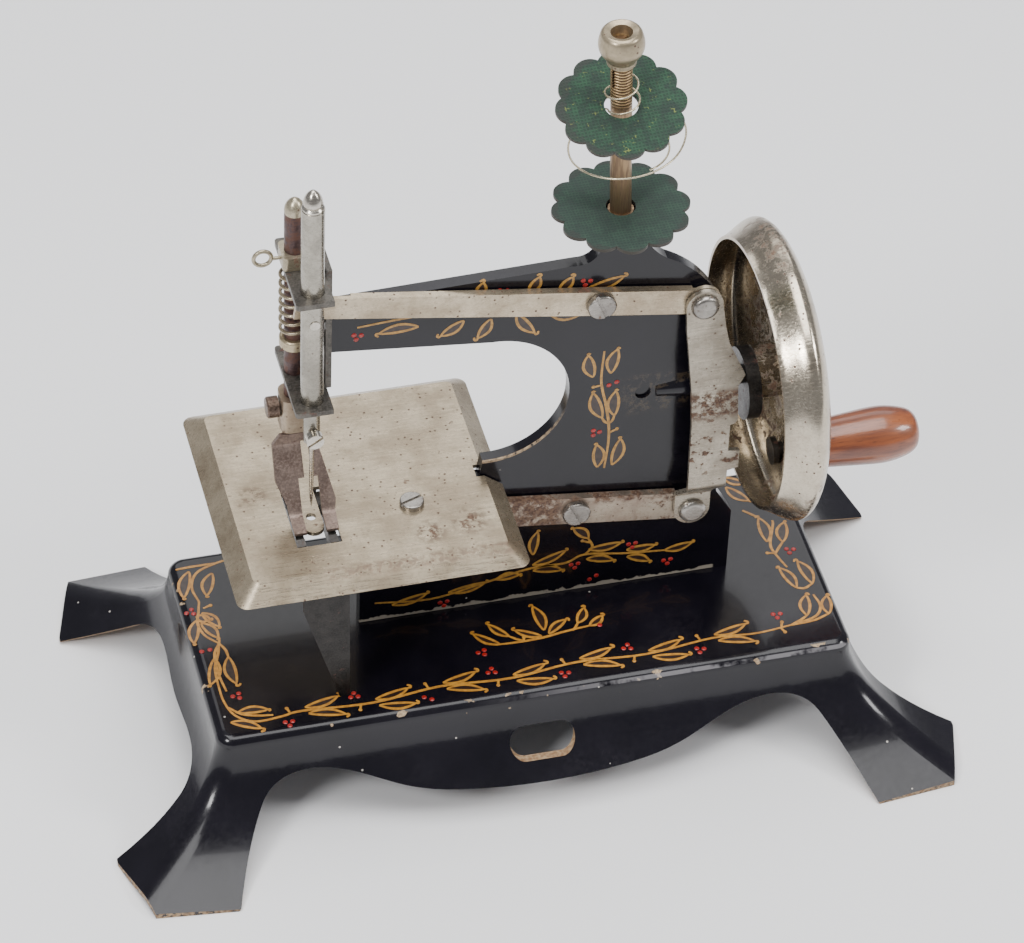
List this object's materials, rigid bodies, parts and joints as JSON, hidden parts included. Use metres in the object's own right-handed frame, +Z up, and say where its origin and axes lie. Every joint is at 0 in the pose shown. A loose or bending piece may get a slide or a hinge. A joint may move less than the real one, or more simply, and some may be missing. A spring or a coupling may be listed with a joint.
{
  "type": "toy sewing machine",
  "caption": "Hand-cranked toy sewing machine: stamped base, tray-shaped arm, rocking levers, needle and presser bars, handwheel with wooden grip, and a thread tension post.",
  "frame": {"origin": "centre of the base, on the surface it stands on", "axes": "+X along the arm from the needle to the handwheel, +Y to the back, +Z up"},
  "size_m": [0.1942, 0.1094, 0.1869],
  "materials": {
    "enamel": "glossy purplish-black enamel, worn to bare metal along its edges",
    "plate_nickel": "worn nickel plate with rust spots",
    "wheel_nickel": "worn nickel plate, pitted inside",
    "lever_nickel": "worn nickel plate with brown pits",
    "link_nickel": "worn nickel plate with a rusty band",
    "bright_nickel": "bright nickel plate",
    "dark_steel": "darkened steel",
    "rusty_steel": "dark brown rusted steel",
    "copper_brown": "pinkish-brown tarnished sheet",
    "cap_nickel": "yellowed nickel plate",
    "post_brass": "tarnished brass",
    "nut_brass": "silvery worn brass",
    "spring_wire": "bright thin wire",
    "disc_cloth": "coarse woven green cloth, brown at the cut edge",
    "wood": "reddish-brown lacquered wood"
  },
  "bodies": {
    "frame": {"base_shell": "enamel", "arm_frame": "enamel", "arm_screws": "dark_steel", "axle_bush": "post_brass", "head_bracket": "dark_steel", "head_rivets": "dark_steel", "pivot_collars": "dark_steel", "upper_pivot_screw": "bright_nickel", "lower_pivot_screw": "bright_nickel", "cloth_plate": "plate_nickel", "plate_bracket": "dark_steel", "plate_screw": "bright_nickel", "plate_leg": "dark_steel", "looper_stud": "bright_nickel", "feed_guide": "dark_steel", "tension_post": "post_brass", "tension_spring": "spring_wire"},
    "handwheel": {"handwheel": "wheel_nickel", "axle": "dark_steel", "drive_cam": "dark_steel", "axle_nut": "dark_steel", "handle_pin": "dark_steel"},
    "handle": {"wood_handle": "wood"},
    "upper_lever": {"upper_lever": "lever_nickel", "upper_rivet": "bright_nickel"},
    "lower_lever": {"lower_lever": "lever_nickel", "lower_rivet": "bright_nickel"},
    "link": {"connecting_link": "link_nickel"},
    "needle_bar": {"needle_bar": "bright_nickel", "needle_bar_cap": "bright_nickel", "lever_pin": "bright_nickel", "needle": "bright_nickel", "needle_screw": "bright_nickel"},
    "presser_bar": {"presser_bar": "rusty_steel", "presser_cap": "cap_nickel", "presser_stop": "cap_nickel", "thread_eye": "cap_nickel", "spring_collar": "rusty_steel", "presser_spring": "dark_steel", "foot_block": "rusty_steel", "presser_foot": "copper_brown"},
    "foot_screw": {"foot_screw": "bright_nickel"},
    "looper": {"looper": "dark_steel"},
    "feed_dog": {"feed_dog": "dark_steel"},
    "lower_disc": {"lower_disc": "disc_cloth"},
    "upper_disc": {"upper_disc": "disc_cloth"},
    "tension_nut": {"tension_nut": "nut_brass"}
  },
  "joints": [
    {"name": "handwheel_spin", "type": "hinge", "parent": "frame", "child": "handwheel", "pos_m": [0.06, 0.0015, 0.0855], "axis": [1, 0, 0], "continuous": true},
    {"name": "handle_spin", "type": "hinge", "parent": "handwheel", "child": "handle", "pos_m": [0.08, 0.0015, 0.0604], "axis": [1, 0, 0], "continuous": true},
    {"name": "upper_lever_rock", "type": "hinge", "parent": "frame", "child": "upper_lever", "pos_m": [0.0171, -0.0017, 0.1155], "axis": [0, -1, 0], "range_deg": [0, 13.8]},
    {"name": "lower_lever_rock", "type": "hinge", "parent": "frame", "child": "lower_lever", "pos_m": [0.0141, -0.0017, 0.0545], "axis": [0, -1, 0], "range_deg": [0, 11.95]},
    {"name": "link_pivot", "type": "hinge", "parent": "upper_lever", "child": "link", "pos_m": [0.0402, -0.0031, 0.11176], "axis": [0, -1, 0], "range_deg": [-13.85, 0]},
    {"name": "needle_bar_slide", "type": "slide", "parent": "frame", "child": "needle_bar", "axis": [0, 0, -1], "range_m": [0, 0.0155]},
    {"name": "looper_swing", "type": "hinge", "parent": "frame", "child": "looper", "pos_m": [-0.0305, -0.0031, 0.05557], "axis": [0, 1, 0], "range_deg": [0, 53.25]},
    {"name": "feed_slide", "type": "slide", "parent": "frame", "child": "feed_dog", "axis": [0, 1, 0], "range_m": [0, 0.00301]},
    {"name": "presser_bar_lift", "type": "slide", "parent": "frame", "child": "presser_bar", "axis": [0, 0, 1], "range_m": [0, 0.0045], "stiffness_N_per_m": 600, "springref_m": -0.002, "deforming": ["presser_spring"]},
    {"name": "foot_screw_turn", "type": "hinge", "parent": "presser_bar", "child": "foot_screw", "pos_m": [-0.053, 0.0052, 0.0926], "axis": [1, 0, 0], "continuous": true},
    {"name": "lower_disc_spin", "type": "hinge", "parent": "frame", "child": "lower_disc", "pos_m": [0.0213, 0.0015, 0.1389], "axis": [0, 0, 1], "continuous": true},
    {"name": "upper_disc_spin", "type": "hinge", "parent": "frame", "child": "upper_disc", "pos_m": [0.02, 0.0015, 0.16677], "axis": [-0.0667, -0.2325, 0.9703], "continuous": true},
    {"name": "tension_nut_turn", "type": "hinge", "parent": "frame", "child": "tension_nut", "pos_m": [0.0193, 0.0015, 0.18216], "axis": [-0.0454, 0, 0.999], "continuous": true}
  ],
  "couplings": [
    {"joint": "lower_lever_rock", "follows": "upper_lever_rock", "ratio": 0.863},
    {"joint": "link_pivot", "follows": "upper_lever_rock", "ratio": -1},
    {"joint": "needle_bar_slide", "follows": "upper_lever_rock", "m_per_rad": 0.064},
    {"joint": "looper_swing", "follows": "upper_lever_rock", "ratio": 3.855},
    {"joint": "feed_slide", "follows": "upper_lever_rock", "m_per_rad": 0.01245}
  ]
}
